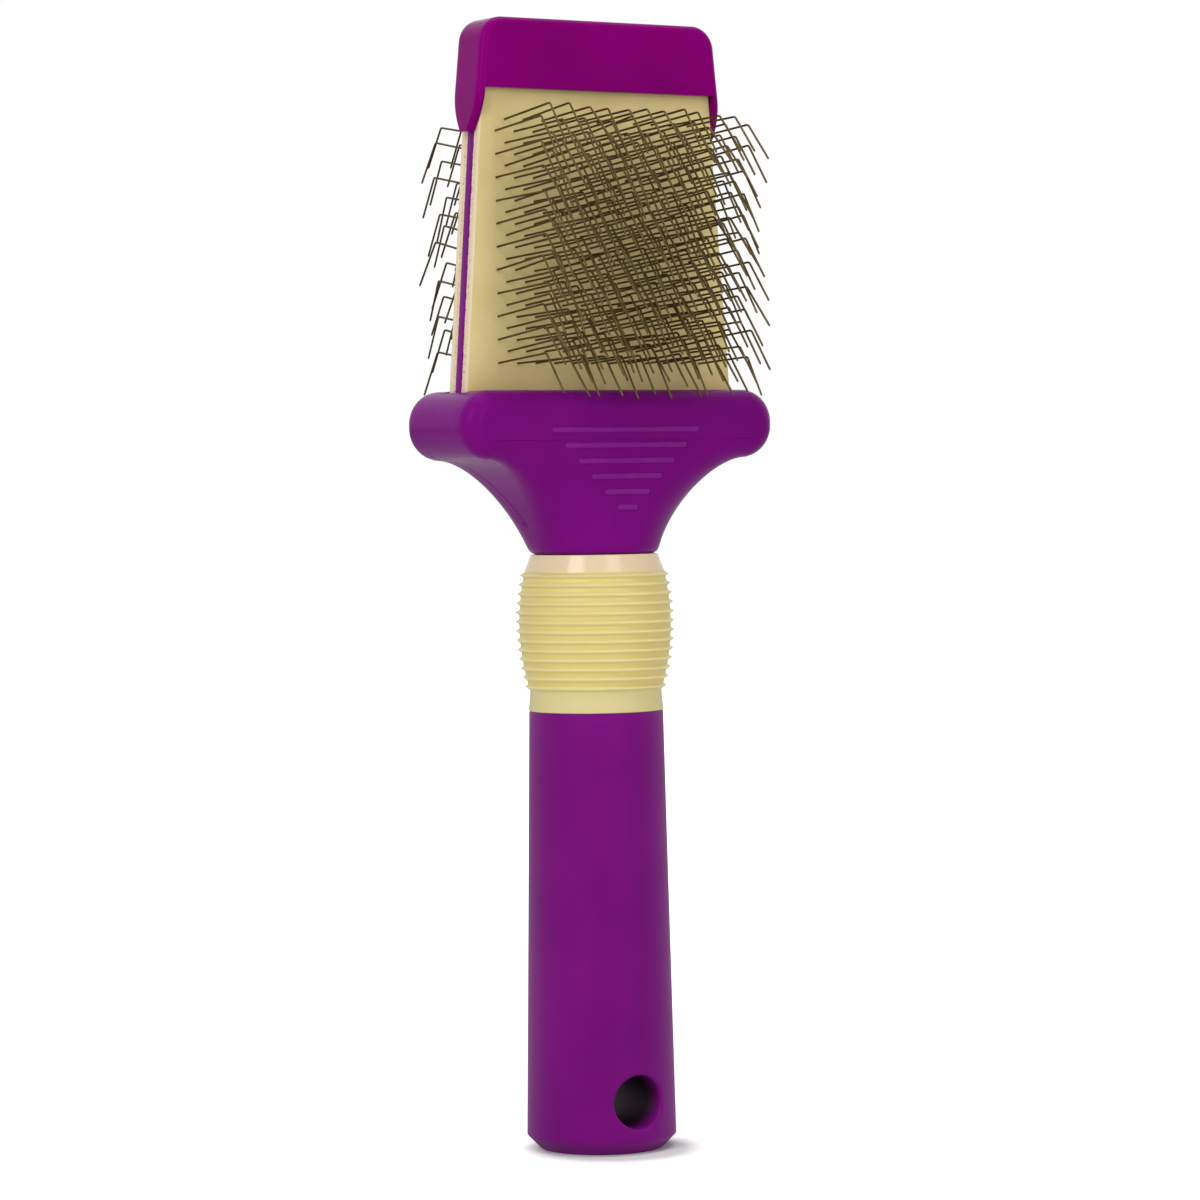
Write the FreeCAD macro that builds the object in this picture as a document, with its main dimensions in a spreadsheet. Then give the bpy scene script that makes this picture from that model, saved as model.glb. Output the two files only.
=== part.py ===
import FreeCAD, Part
import math
import os

import Sketcher

# Double-sided flexible pin brush for grooming, standing on the end of its handle.
# Millimetres. Origin: centre of the handle's flat end. +Z runs up the handle to the
# head, -Y is the front, X runs across the head.
#
# Handle group: handle tube, ribbed grip sleeve, and a T-shaped yoke in two halves
# whose stems run down through the sleeve into the handle.
# Head group: a springy core plate clamped in the yoke, a wire-set cloth and a rubber
# face on each side of it, and an end cap that holds the stack together at the top.

V = FreeCAD.Vector
doc = FreeCAD.newDocument("pin_brush")

# Driving dimensions. Each is set here once.
SIZES = [
    ("handle_length", 80.0),
    ("handle_foot_radius", 13.75),
    ("handle_top_radius", 12.25),
    ("handle_foot_chamfer", 2.4),
    ("hang_hole_radius", 4.85),
    ("hang_hole_height", 9.5),
    ("stem_radius", 8.0),
    ("stem_depth", 36.0),
    ("stem_fit", 0.08),
    ("stem_end_gap", 0.3),
    ("sleeve_length", 28.6),
    ("sleeve_foot_radius", 12.3),
    ("sleeve_foot_band", 3.6),
    ("sleeve_head_radius", 11.75),
    ("sleeve_head_band", 2.9),
    ("barrel_radius", 12.4),
    ("barrel_bulge", 1.45),
    ("barrel_bulge_rise", 16.0),
    ("barrel_bulge_reach", 11.0),
    ("grip_rib_height", 0.6),
    ("grip_rib_count", 13),
    ("neck_radius", 11.6),
    ("neck_roundness", 0.96),
    ("neck_overlap", 1.0),
    ("flare_height", 17.3),
    ("flare_half_width", 27.8),
    ("flare_corner", 3.6),
    ("flare_lean", 0.3),
    ("flare_sharpening", 1.6),
    ("flare_bite", 4.0),
    ("bar_length", 65.9),
    ("bar_height", 12.4),
    ("bar_end_round", 5.9),
    ("bar_edge_round", 3.2),
    ("yoke_rib_count", 6),
    ("yoke_rib_pitch", 2.8),
    ("yoke_rib_drop", 7.2),
    ("yoke_rib_longest", 31.2),
    ("yoke_rib_step", 5.42),
    ("yoke_rib_width", 1.0),
    ("yoke_rib_corner", 0.45),
    ("yoke_rib_root", 1.0),
    ("yoke_rib_rise", 0.6),
    ("head_width", 56.4),
    ("head_taper", 0.073),
    ("head_height", 65.4),
    ("plate_thickness", 2.1),
    ("plate_grip_depth", 10.0),
    ("plate_fit", 0.05),
    ("cloth_thickness", 1.0),
    ("face_thickness", 1.05),
    ("mouth_depth", 3.4),
    ("mouth_gap", 0.8),
    ("pad_dip", 2.0),
    ("peg_radius", 1.6),
    ("peg_fit", 0.1),
    ("peg_count", 2),
    ("peg_spacing", 42.0),
    ("peg_drop", 6.4),
    ("peg_reach", 4.0),
    ("cap_wall", 1.55),
    ("cap_fit", 0.1),
    ("cap_height", 12.7),
    ("cap_tab_height", 20.4),
    ("cap_tab_shoulder_drop", 2.5),
    ("cap_tab_shoulder", 8.6),
    ("cap_tab_foot", 2.8),
    ("cap_corner", 4.5),
    ("cap_edge_round", 1.3),
    ("cap_top_wall", 1.3),
    ("wire_diameter", 0.42),
    ("front_row_count", 22),
    ("front_long_row", 12),
    ("front_short_row", 11),
    ("front_wire_pitch", 3.9),
    ("front_row_pitch", 2.075),
    ("front_row_shift", 0.0),
    ("front_first_row", 4.85),
    ("front_knee_out", 16.3),
    ("front_knee_rise", 1.2),
    ("front_tip_out", 6.0),
    ("front_tip_drop", 7.3),
    ("back_row_count", 14),
    ("back_long_row", 10),
    ("back_short_row", 10),
    ("back_wire_pitch", 4.3),
    ("back_row_pitch", 3.14),
    ("back_row_shift", 0.75),
    ("back_first_row", 5.0),
    ("back_knee_out", 17.8),
    ("back_knee_rise", 3.0),
    ("back_tip_out", 4.5),
    ("back_tip_drop", 7.7),
]
WIRE_SIDES = 3
LEAST_CUT = 1.0  # cubic millimetres
TOUCH = 0.01

sheet = doc.addObject("Spreadsheet::Sheet", "sizes")
for row, (alias, value) in enumerate(SIZES, start=1):
    sheet.set(f"A{row}", alias)
    sheet.set(f"B{row}", str(value))
    sheet.setAlias(f"B{row}", alias)
doc.recompute()

# Heights, half widths and radii that follow from the driving dimensions.
places = doc.addObject("App::VarSet", "places")


def place(name, formula):
    """Adds one derived length, kept in step with the sheet by its formula."""
    places.addProperty("App::PropertyFloat", name)
    places.setExpression(name, formula)


def size(name):
    """The value of one cell of the sheet."""
    return float(getattr(sheet, name))


def at(name):
    """The value of one derived length, or zero for no name."""
    return float(getattr(places, name)) if name else 0.0


place("handle_top", "sizes.handle_length")
place("stem_bore", "sizes.stem_radius + sizes.stem_fit")
place("stem_foot", "sizes.handle_length - sizes.stem_depth")
place("bore_floor", "places.stem_foot - sizes.stem_end_gap")
place("neck", "sizes.handle_length + sizes.sleeve_length")
place("ribs_foot", "sizes.handle_length + sizes.sleeve_foot_band")
place("ribs_head", "places.neck - sizes.sleeve_head_band")
place("grip_rib_pitch", "(places.ribs_head - places.ribs_foot) / sizes.grip_rib_count")
place("bulge_centre", "sizes.handle_length + sizes.barrel_bulge_rise")
place("bar_foot", "places.neck + sizes.flare_height")
place("bar_top", "places.bar_foot + sizes.bar_height")
place("bar_right", "sizes.bar_length / 2")
place("bar_left", "-places.bar_right")
place("plate_half", "sizes.plate_thickness / 2")
place("cloth_outer", "places.plate_half + sizes.cloth_thickness")
place("stack_half", "places.cloth_outer + sizes.face_thickness")
place("mouth_floor", "places.bar_top - sizes.mouth_depth")
place("pad_foot", "places.bar_top - sizes.pad_dip")
place("plate_foot", "places.bar_top - sizes.plate_grip_depth")
place("head_top", "places.bar_top + sizes.head_height")
place("head_right", "sizes.head_width / 2")
place("head_left", "-places.head_right")
place("head_top_right", "places.head_right - sizes.head_taper * sizes.head_height")
place("head_top_left", "-places.head_top_right")
place("cap_top", "places.head_top + sizes.cap_fit + sizes.cap_top_wall")
place("cap_roof", "places.head_top + sizes.cap_fit")
place("cap_front_foot", "places.cap_top - sizes.cap_height")
place("cap_tab_foot_height", "places.cap_top - sizes.cap_tab_height")
place("cap_half", "places.stack_half + sizes.cap_fit + sizes.cap_wall")
place("peg_height", "places.bar_top - sizes.peg_drop")


def recompute():
    """Recomputes the document and stops at the first object that failed."""
    doc.recompute()
    for item in doc.Objects:
        if "Invalid" in item.State or "Error" in item.State:
            raise RuntimeError(f"{item.Label} failed: {item.State}")


recompute()


def new_body(label):
    body = doc.addObject("PartDesign::Body", label)
    body.Label = label
    return body


def new_sketch(body, role, name, offset=None):
    """A sketch on one of the body's own origin planes, set off along its normal."""
    sketch = body.newObject("Sketcher::SketchObject", name)
    plane = [f for f in body.Origin.OriginFeatures if f.Role == role][0]
    sketch.AttachmentSupport = [(plane, "")]
    sketch.MapMode = "FlatFace"
    if offset:
        sketch.setExpression("AttachmentOffset.Base.z", f"places.{offset}")
    return sketch


def pin_coordinate(sketch, kind, geometry, point, name):
    """Holds one coordinate of a point at a derived length, or on the axis for no name."""
    if name is None:
        axis = -2 if kind == "DistanceX" else -1
        sketch.addConstraint(Sketcher.Constraint("PointOnObject", geometry, point, axis))
        return
    held = Sketcher.Constraint(kind, -1, 1, geometry, point, at(name))
    index = sketch.addConstraint(held)
    sketch.setExpression(f"Constraints[{index}]", f"places.{name}")


def draw_polygon(sketch, corners):
    """A closed outline through corners given as pairs of derived lengths."""
    points = [V(at(x), at(y), 0) for x, y in corners]
    count = len(points)
    first = sketch.GeometryCount
    for k in range(count):
        sketch.addGeometry(Part.LineSegment(points[k], points[(k + 1) % count]), False)
    for k in range(count):
        follower = first + (k + 1) % count
        sketch.addConstraint(Sketcher.Constraint("Coincident", first + k, 2, follower, 1))
    for k, (x, y) in enumerate(corners):
        pin_coordinate(sketch, "DistanceX", first + k, 1, x)
        pin_coordinate(sketch, "DistanceY", first + k, 1, y)


def draw_rounded(sketch, left, right, bottom, top, corner):
    """A rectangle with four equal round corners, its sides at derived lengths."""
    r = at(corner)
    x0, x1, y0, y1 = at(left), at(right), at(bottom), at(top)
    quarter = math.pi / 2
    centres = [(x1 - r, y1 - r), (x0 + r, y1 - r), (x0 + r, y0 + r), (x1 - r, y0 + r)]
    sides = [
        ((x1 - r, y1), (x0 + r, y1)),
        ((x0, y1 - r), (x0, y0 + r)),
        ((x0 + r, y0), (x1 - r, y0)),
        ((x1, y0 + r), (x1, y1 - r)),
    ]
    first = sketch.GeometryCount
    for k in range(4):
        circle = Part.Circle(V(*centres[k], 0), V(0, 0, 1), r)
        arc = Part.ArcOfCircle(circle, k * quarter, (k + 1) * quarter)
        sketch.addGeometry(arc, False)
        start, end = sides[k]
        sketch.addGeometry(Part.LineSegment(V(*start, 0), V(*end, 0)), False)
    for k in range(8):
        follower = first + (k + 1) % 8
        sketch.addConstraint(Sketcher.Constraint("Tangent", first + k, 2, follower, 1))
    for k, direction in enumerate(("Horizontal", "Vertical", "Horizontal", "Vertical")):
        sketch.addConstraint(Sketcher.Constraint(direction, first + 2 * k + 1))
    for k in (2, 4, 6):
        sketch.addConstraint(Sketcher.Constraint("Equal", first, first + k))
    index = sketch.addConstraint(Sketcher.Constraint("Radius", first, r))
    sketch.setExpression(f"Constraints[{index}]", f"places.{corner}")
    pin_coordinate(sketch, "DistanceY", first + 1, 1, top)
    pin_coordinate(sketch, "DistanceX", first + 3, 1, left)
    pin_coordinate(sketch, "DistanceY", first + 5, 1, bottom)
    pin_coordinate(sketch, "DistanceX", first + 7, 1, right)


def draw_circle(sketch, x, y, radius):
    """A circle whose centre and radius are derived lengths."""
    circle = Part.Circle(V(at(x), at(y), 0), V(0, 0, 1), at(radius))
    index = sketch.addGeometry(circle, False)
    held = sketch.addConstraint(Sketcher.Constraint("Radius", index, at(radius)))
    sketch.setExpression(f"Constraints[{held}]", f"places.{radius}")
    pin_coordinate(sketch, "DistanceX", index, 3, x)
    pin_coordinate(sketch, "DistanceY", index, 3, y)


def add_pad(body, sketch, length, midplane=False, reverse=False):
    """Extrudes a sketch by a length written as a formula."""
    pad = body.newObject("PartDesign::Pad", f"{sketch.Name}_pad")
    pad.Profile = sketch
    pad.Midplane = midplane
    pad.Reversed = reverse
    pad.setExpression("Length", length)
    return pad


def add_pocket(body, sketch, length=None):
    """Cuts a sketch both ways from its plane, right through for no length."""
    before = body.Shape.Volume
    pocket = body.newObject("PartDesign::Pocket", f"{sketch.Name}_pocket")
    pocket.Profile = sketch
    pocket.Midplane = True
    if length:
        pocket.setExpression("Length", length)
    else:
        pocket.Type = "ThroughAll"
    recompute()
    if body.Shape.Volume > before - LEAST_CUT:
        raise RuntimeError(f"{pocket.Name} cut nothing")
    return pocket


def ease_edges(body, kind, amount, wanted):
    """A Fillet or Chamfer on the edges of the body's present shape that pass a test."""
    base = body.Tip
    names = [f"Edge{k}" for k, edge in enumerate(base.Shape.Edges, 1) if wanted(edge)]
    eased = body.newObject(f"PartDesign::{kind}", f"{body.Name}_eased_{len(body.Group)}")
    eased.Base = (base, names)
    eased.setExpression("Radius" if kind == "Fillet" else "Size", f"sizes.{amount}")
    recompute()


def revolve(body, sketch):
    """Turns a half outline on the XZ plane a full turn about the Z axis."""
    turned = body.newObject("PartDesign::Revolution", f"{sketch.Name}_turned")
    turned.Profile = sketch
    turned.ReferenceAxis = (sketch, ["V_Axis"])
    turned.Angle = 360.0
    return turned


def near(value, target):
    return abs(value - target) < TOUCH


# The handle tube: a tapered round tube with a socket for the yoke's stems and a hang
# hole through its solid foot.
place("handle_foot", "sizes.handle_foot_radius")
place("handle_head", "sizes.handle_top_radius")
place("hang_height", "sizes.hang_hole_height")
place("hang_radius", "sizes.hang_hole_radius")
recompute()

handle_tube = new_body("handle_tube")
tube_outline = new_sketch(handle_tube, "XZ_Plane", "tube_outline")
draw_polygon(
    tube_outline,
    [
        (None, None),
        ("handle_foot", None),
        ("handle_head", "handle_top"),
        ("stem_bore", "handle_top"),
        ("stem_bore", "bore_floor"),
        (None, "bore_floor"),
    ],
)
revolve(handle_tube, tube_outline)
recompute()
ease_edges(
    handle_tube,
    "Chamfer",
    "handle_foot_chamfer",
    lambda edge: near(edge.BoundBox.ZMax, 0) and edge.Closed,
)
hang_hole = new_sketch(handle_tube, "XZ_Plane", "hang_hole")
draw_circle(hang_hole, None, "hang_height", "hang_radius")
add_pocket(handle_tube, hang_hole)

# The grip sleeve: a barrel of soft plastic between two smooth bands, ringed by sharp
# ribs. The barrel's radius falls off from its fullest height as a parabola.
place("sleeve_foot", "sizes.sleeve_foot_radius")
place("sleeve_head", "sizes.sleeve_head_radius")
grip_rib_count = int(size("grip_rib_count"))
rib_corners = []
for k in range(2 * grip_rib_count + 1):
    height = f"grip_height_{k}"
    radius = f"grip_radius_{k}"
    place(height, f"places.ribs_foot + {k} * places.grip_rib_pitch / 2")
    fall = f"((places.{height} - places.bulge_centre) / sizes.barrel_bulge_reach)^2"
    crest = "sizes.grip_rib_height" if k % 2 else "0"
    place(radius, f"sizes.barrel_radius + sizes.barrel_bulge * (1 - {fall}) + {crest}")
    rib_corners.append((radius, height))
recompute()

grip_sleeve = new_body("grip_sleeve")
sleeve_outline = new_sketch(grip_sleeve, "XZ_Plane", "sleeve_outline")
draw_polygon(
    sleeve_outline,
    [("stem_bore", "handle_top"), ("sleeve_foot", "handle_top")]
    + rib_corners
    + [("sleeve_head", "neck"), ("stem_bore", "neck")],
)
revolve(grip_sleeve, sleeve_outline)
recompute()

# The yoke's outer form: a cross bar with round ends on a flare that shrinks to the
# round neck and is as deep as the neck all the way. Each flare section is a rounded
# rectangle. Its half width follows a straight lean plus a quarter ellipse, so that it
# leaves the neck steeply and meets the bar's underside level.
FLARE_STEPS = [0.0, 0.3, 0.55, 0.75, 0.88, 0.96, 1.0]
place("bar_end", "sizes.bar_end_round")
place("bar_front", "sizes.neck_radius")
place("bar_back", "-places.bar_front")
for k, u in enumerate(FLARE_STEPS):
    sweep = f"(sizes.flare_lean * {u} + (1 - sizes.flare_lean) * (1 - sqrt(1 - {u}^2)))"
    spread = "(sizes.flare_half_width - sizes.neck_radius)"
    place(f"flare_height_{k}", f"places.neck + sizes.flare_height * {u}")
    place(f"flare_right_{k}", f"sizes.neck_radius + {spread} * {sweep}")
    place(f"flare_left_{k}", f"-places.flare_right_{k}")
    soften = "(sizes.neck_radius * sizes.neck_roundness - sizes.flare_corner)"
    fade = f"(1 - {u}^sizes.flare_sharpening)"
    place(f"flare_corner_{k}", f"sizes.flare_corner + {soften} * {fade}")
place("stem", "sizes.stem_radius")
recompute()

yoke_form = new_body("yoke_form")
bar_outline = new_sketch(yoke_form, "XZ_Plane", "bar_outline")
draw_rounded(bar_outline, "bar_left", "bar_right", "bar_foot", "bar_top", "bar_end")
add_pad(yoke_form, bar_outline, "2 * sizes.neck_radius", midplane=True)
recompute()
ease_edges(
    yoke_form,
    "Fillet",
    "bar_edge_round",
    lambda edge: near(abs(edge.CenterOfMass.y), at("bar_front")),
)
sections = []
for k in range(len(FLARE_STEPS)):
    section = new_sketch(yoke_form, "XY_Plane", f"flare_section_{k}", f"flare_height_{k}")
    draw_rounded(
        section,
        f"flare_left_{k}",
        f"flare_right_{k}",
        "bar_back",
        "bar_front",
        f"flare_corner_{k}",
    )
    sections.append(section)
recompute()
flare = yoke_form.newObject("PartDesign::AdditiveLoft", "flare")
flare.Profile = sections[0]
flare.Sections = sections[1:]
recompute()
add_pad(yoke_form, sections[-1], "sizes.flare_bite")
stem_outline = new_sketch(yoke_form, "XY_Plane", "stem_outline", "stem_foot")
draw_circle(stem_outline, None, None, "stem")
add_pad(yoke_form, stem_outline, "places.neck - places.stem_foot + sizes.neck_overlap")
recompute()

# The mouth in the bar's top takes the pads with room to flex, and a narrow slot below
# it grips the core plate.
place("mouth_right", "places.head_right + sizes.mouth_gap")
place("mouth_half", "places.stack_half + sizes.mouth_gap")
place("slot_right", "places.head_right + sizes.plate_fit")
place("slot_half", "places.plate_half + sizes.plate_fit")
place("half_reach", "places.bar_right + places.bar_front")
recompute()


def add_box(name, right, half, foot, top):
    """A box centred on the axis in X and Y, from derived half sizes and heights."""
    box = doc.addObject("Part::Box", name)
    box.setExpression("Length", f"2 * places.{right}")
    box.setExpression("Width", f"2 * places.{half}")
    box.setExpression("Height", f"places.{top} - places.{foot}")
    box.setExpression("Placement.Base.x", f"-places.{right}")
    box.setExpression("Placement.Base.y", f"-places.{half}")
    box.setExpression("Placement.Base.z", f"places.{foot}")
    return box


def boolean(kind, name, first, others):
    """A cut takes one tool. A fuse or common takes a list."""
    item = doc.addObject(f"Part::{kind}", name)
    if kind == "Cut":
        item.Base = first
        item.Tool = others[0]
    else:
        item.Shapes = [first] + others
    item.Label = name
    return item


mouth = add_box("mouth", "mouth_right", "mouth_half", "mouth_floor", "head_top")
plate_slot = add_box("plate_slot", "slot_right", "slot_half", "plate_foot", "head_top")
openings = boolean("MultiFuse", "yoke_openings", mouth, [plate_slot])
yoke_blank = boolean("Cut", "yoke_blank", yoke_form, [openings])

front_space = add_box("front_space", "half_reach", "half_reach", "stem_foot", "head_top")
front_space.setExpression("Width", "places.half_reach")
back_space = add_box("back_space", "half_reach", "half_reach", "stem_foot", "head_top")
back_space.setExpression("Width", "places.half_reach")
back_space.setExpression("Placement.Base.y", "0")
front_half = boolean("MultiCommon", "front_half", yoke_blank, [front_space])
back_half = boolean("MultiCommon", "back_half", yoke_blank, [back_space])

# Raised ribs on the front of the yoke, each shorter than the one above.
place("rib_plane", "places.bar_front - sizes.yoke_rib_root")
place("rib_corner", "sizes.yoke_rib_corner")
yoke_rib_count = int(size("yoke_rib_count"))
for k in range(yoke_rib_count):
    drop = f"(sizes.yoke_rib_drop + {k} * sizes.yoke_rib_pitch)"
    place(f"rib_centre_{k}", f"places.bar_top - {drop}")
    place(f"rib_foot_{k}", f"places.rib_centre_{k} - sizes.yoke_rib_width / 2")
    place(f"rib_head_{k}", f"places.rib_centre_{k} + sizes.yoke_rib_width / 2")
    place(f"rib_right_{k}", f"(sizes.yoke_rib_longest - {k} * sizes.yoke_rib_step) / 2")
    place(f"rib_left_{k}", f"-places.rib_right_{k}")
recompute()
yoke_ribs = new_body("yoke_ribs")
rib_outline = new_sketch(yoke_ribs, "XZ_Plane", "rib_outline", "rib_plane")
for k in range(yoke_rib_count):
    draw_rounded(
        rib_outline,
        f"rib_left_{k}",
        f"rib_right_{k}",
        f"rib_foot_{k}",
        f"rib_head_{k}",
        "rib_corner",
    )
add_pad(yoke_ribs, rib_outline, "sizes.yoke_rib_root + sizes.yoke_rib_rise")
recompute()

# Pegs moulded on the front half pass through the plate into sockets in the back half.
peg_count = int(size("peg_count"))
for k in range(peg_count):
    place(f"peg_{k}", f"({k} - (sizes.peg_count - 1) / 2) * sizes.peg_spacing")
recompute()


def add_pegs(name, radius, start, length):
    """A row of round pegs along +Y, from a depth written as a formula."""
    pegs = []
    for k in range(peg_count):
        peg = doc.addObject("Part::Cylinder", f"{name}_{k}")
        peg.Placement = FreeCAD.Placement(V(), FreeCAD.Rotation(V(1, 0, 0), -90))
        peg.setExpression("Radius", radius)
        peg.setExpression("Height", length)
        peg.setExpression("Placement.Base.x", f"places.peg_{k}")
        peg.setExpression("Placement.Base.y", start)
        peg.setExpression("Placement.Base.z", "places.peg_height")
        pegs.append(peg)
    return pegs


pegs = add_pegs(
    "peg",
    "sizes.peg_radius",
    "-places.stack_half",
    "places.stack_half + places.plate_half + sizes.peg_reach",
)
sockets = add_pegs(
    "socket",
    "sizes.peg_radius + sizes.peg_fit",
    "0",
    "places.plate_half + sizes.peg_reach + sizes.peg_fit",
)
yoke_front = boolean("MultiFuse", "yoke_front", front_half, [yoke_ribs] + pegs)
socket_row = boolean("MultiFuse", "socket_row", sockets[0], sockets[1:])
yoke_back = boolean("Cut", "yoke_back", back_half, [socket_row])
recompute()

# The core plate: springy sheet, straight inside the yoke and tapering up to the cap.
place("peg_hole", "sizes.peg_radius + sizes.peg_fit")
recompute()
flex_plate = new_body("flex_plate")
plate_outline = new_sketch(flex_plate, "XZ_Plane", "plate_outline")
draw_polygon(
    plate_outline,
    [
        ("head_left", "plate_foot"),
        ("head_right", "plate_foot"),
        ("head_right", "bar_top"),
        ("head_top_right", "head_top"),
        ("head_top_left", "head_top"),
        ("head_left", "bar_top"),
    ],
)
for k in range(peg_count):
    draw_circle(plate_outline, f"peg_{k}", "peg_height", "peg_hole")
add_pad(flex_plate, plate_outline, "sizes.plate_thickness", midplane=True)
recompute()


def add_layer(label, inner, thickness, back):
    """One sheet of a pin pad, laid on the face at a depth from the middle."""
    body = new_body(label)
    outline = new_sketch(body, "XZ_Plane", f"{label}_outline", inner)
    draw_polygon(
        outline,
        [
            ("head_left", "pad_foot"),
            ("head_right", "pad_foot"),
            ("head_right", "bar_top"),
            ("head_top_right", "head_top"),
            ("head_top_left", "head_top"),
            ("head_left", "bar_top"),
        ],
    )
    add_pad(body, outline, thickness)
    if back:
        body.Placement = FreeCAD.Placement(V(), FreeCAD.Rotation(V(0, 0, 1), 180))
    return body


front_cloth = add_layer("front_cloth", "plate_half", "sizes.cloth_thickness", False)
back_cloth = add_layer("back_cloth", "plate_half", "sizes.cloth_thickness", True)
front_pad = add_layer("front_pad", "cloth_outer", "sizes.face_thickness", False)
back_pad = add_layer("back_pad", "cloth_outer", "sizes.face_thickness", True)
recompute()


# The wires: staggered rows set in the cloth, dense in front and sparse at the back. Each
# wire leaves the pad, rises a little, and bends over towards the handle.
def wire_solid(side):
    """One bent wire as a slim bar of few sides, mitred where it bends."""
    radius = size("wire_diameter") / 2
    root = V(0, -(at("plate_half") + size("cloth_thickness") / 2), 0)
    knee_out = at("stack_half") + size(f"{side}_knee_out")
    knee_rise = size(f"{side}_knee_rise")
    knee = V(0, -knee_out, knee_rise)
    tip_out = knee_out + size(f"{side}_tip_out")
    tip = V(0, -tip_out, knee_rise - size(f"{side}_tip_drop"))
    first = (knee - root).normalize()
    second = (tip - knee).normalize()
    mitre = (first + second).normalize()
    up = V(1, 0, 0).cross(first)
    rings = []
    for centre, normal, run in ((root, first, first), (knee, mitre, first), (tip, second, second)):
        ring = []
        for k in range(WIRE_SIDES):
            turn = 2 * math.pi * k / WIRE_SIDES + math.pi / 2
            side = V(1, 0, 0) * math.cos(turn)
            lift = up if run is first else V(1, 0, 0).cross(second)
            offset = (side + lift * math.sin(turn)) * radius
            slide = -(offset.dot(normal)) / run.dot(normal)
            ring.append(centre + offset + run * slide)
        rings.append(ring)
    faces = [Part.Face(Part.makePolygon(rings[0] + [rings[0][0]]))]
    faces.append(Part.Face(Part.makePolygon(rings[2] + [rings[2][0]])))
    for low, high in zip(rings[:-1], rings[1:]):
        for k in range(WIRE_SIDES):
            after = (k + 1) % WIRE_SIDES
            quad = [low[k], low[after], high[after], high[k], low[k]]
            faces.append(Part.Face(Part.makePolygon(quad)))
    solid = Part.Solid(Part.Shell(faces))
    if solid.Volume < 0:
        solid.reverse()
    return solid


def wire_places(side):
    """The roots of one side's wires, as positions across and up the pad."""
    pitch = size(f"{side}_wire_pitch")
    first_row = at("bar_top") + size(f"{side}_first_row")
    spots = []
    for row in range(int(size(f"{side}_row_count"))):
        odd = row % 2
        count = int(size(f"{side}_short_row" if odd else f"{side}_long_row"))
        shift = size(f"{side}_row_shift") * (1 - 2 * odd)
        height = first_row + row * size(f"{side}_row_pitch")
        for k in range(count):
            spots.append(((k - (count - 1) / 2) * pitch + shift, height))
    return spots


def wired_cloth(label, cloth, side):
    """A pad's cloth with the wires that are set in it, as one piece."""
    wire = wire_solid(side)
    wires = []
    for across, height in wire_places(side):
        copy = wire.copy()
        copy.translate(V(across, 0, height))
        if side == "back":
            copy.rotate(V(), V(0, 0, 1), 180)
        wires.append(copy)
    item = doc.addObject("Part::Feature", label)
    item.Shape = cloth.Shape.multiFuse(wires)
    item.Label = label
    item.Placement = FreeCAD.Placement()
    return item


front_wires = wired_cloth("front_wires", front_cloth, "front")
back_wires = wired_cloth("back_wires", back_cloth, "back")

# The end cap: a shallow box over the top of the stack with a longer tab down each side.
for name, height in (
    ("foot", "places.cap_tab_foot_height"),
    ("top", "places.cap_top"),
):
    lean = f"sizes.head_taper * ({height} - places.bar_top)"
    wall = "sizes.cap_fit + sizes.cap_wall"
    place(f"cap_right_{name}", f"places.head_right + {wall} - {lean}")
    place(f"cap_left_{name}", f"-places.cap_right_{name}")
for name, height in (
    ("foot", "places.pad_foot"),
    ("lip", "places.cap_front_foot"),
    ("roof", "places.cap_roof"),
):
    lean = f"sizes.head_taper * ({height} - places.bar_top)"
    place(f"bay_right_{name}", f"places.head_right + sizes.cap_fit - {lean}")
    place(f"bay_left_{name}", f"-places.bay_right_{name}")
place("cap_front", "places.cap_half")
place("cap_back", "-places.cap_half")
place("shoulder_front", "sizes.cap_tab_shoulder / 2")
place("shoulder_back", "-places.shoulder_front")
place("shoulder_height", "places.cap_front_foot - sizes.cap_tab_shoulder_drop")
place("tab_front", "sizes.cap_tab_foot / 2")
place("tab_back", "-places.tab_front")
place("beyond_front", "places.cap_half + sizes.cap_wall")
place("beyond_back", "-places.beyond_front")
place("beyond_foot", "places.cap_tab_foot_height - sizes.cap_wall")
recompute()

head_cap = new_body("head_cap")
cap_outline = new_sketch(head_cap, "XZ_Plane", "cap_outline")
draw_polygon(
    cap_outline,
    [
        ("cap_left_foot", "cap_tab_foot_height"),
        ("cap_right_foot", "cap_tab_foot_height"),
        ("cap_right_top", "cap_top"),
        ("cap_left_top", "cap_top"),
    ],
)
add_pad(head_cap, cap_outline, "2 * places.cap_half", midplane=True)
recompute()
ease_edges(
    head_cap,
    "Fillet",
    "cap_corner",
    lambda edge: near(edge.BoundBox.ZMin, at("cap_top")) and near(edge.BoundBox.XLength, 0),
)
ease_edges(
    head_cap,
    "Fillet",
    "cap_edge_round",
    lambda edge: near(abs(edge.CenterOfMass.y), at("cap_half"))
    and not near(edge.BoundBox.ZMax, at("cap_tab_foot_height")),
)
tab_taper = new_sketch(head_cap, "YZ_Plane", "tab_taper")
for edge_of_cap, shoulder, edge_of_tab, beyond in (
    ("cap_front", "shoulder_front", "tab_front", "beyond_front"),
    ("cap_back", "shoulder_back", "tab_back", "beyond_back"),
):
    draw_polygon(
        tab_taper,
        [
            (edge_of_cap, "cap_front_foot"),
            (shoulder, "shoulder_height"),
            (edge_of_tab, "cap_tab_foot_height"),
            (edge_of_tab, "beyond_foot"),
            (beyond, "beyond_foot"),
            (beyond, "cap_front_foot"),
        ],
    )
add_pocket(head_cap, tab_taper)
lip = new_sketch(head_cap, "XZ_Plane", "lip")
draw_polygon(
    lip,
    [
        ("bay_left_foot", "pad_foot"),
        ("bay_right_foot", "pad_foot"),
        ("bay_right_lip", "cap_front_foot"),
        ("bay_left_lip", "cap_front_foot"),
    ],
)
add_pocket(head_cap, lip)
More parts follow.
